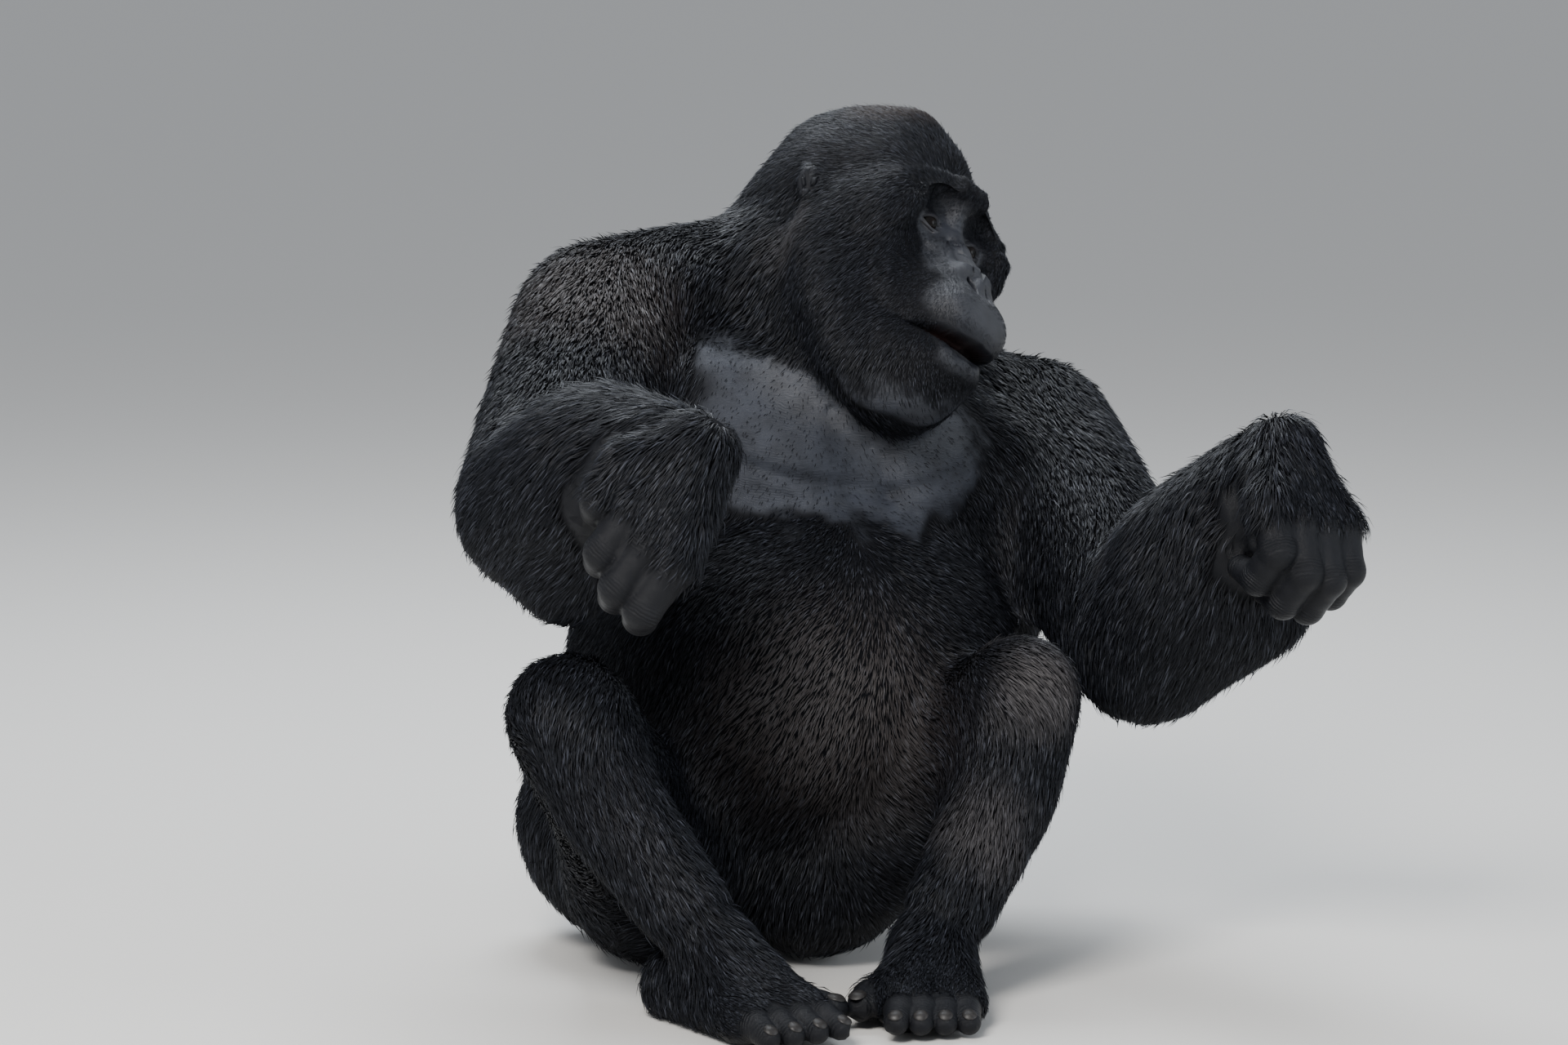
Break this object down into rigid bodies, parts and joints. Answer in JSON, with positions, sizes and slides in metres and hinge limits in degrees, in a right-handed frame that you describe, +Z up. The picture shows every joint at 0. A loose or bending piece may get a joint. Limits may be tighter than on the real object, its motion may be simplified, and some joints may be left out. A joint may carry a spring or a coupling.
{
  "type": "gorilla",
  "caption": "Life-size still model of a male mountain gorilla sitting on the floor, head turned to its left, knees raised, forearms brought forward and hands hanging loosely.",
  "frame": {"origin": "centre of the bounding box at floor level, where the sitting animal rests", "axes": "+Z up; the chest faces -Y, the animal's right side is toward -X and its left toward +X"},
  "size_m": [0.9911, 0.8677, 0.993],
  "materials": {
    "black_coat": "coarse black hair with a soft bluish sheen",
    "dark_skin": "bare grey-black wrinkled skin, half matt",
    "eye": "wet dark brown"
  },
  "bodies": {
    "root": {"belly": "black_coat", "chest": "dark_skin", "neck": "black_coat", "head": "black_coat", "ear_left": "dark_skin", "ear_right": "dark_skin", "eye_left": "eye", "eye_right": "eye", "upper_arm_left": "black_coat", "upper_arm_right": "black_coat", "forearm_left": "black_coat", "forearm_right": "black_coat", "hand_left": "dark_skin", "hand_right": "dark_skin", "thigh_left": "black_coat", "thigh_right": "black_coat", "shin_left": "black_coat", "shin_right": "black_coat", "foot_left": "dark_skin", "foot_right": "dark_skin"}
  },
  "joints": []
}
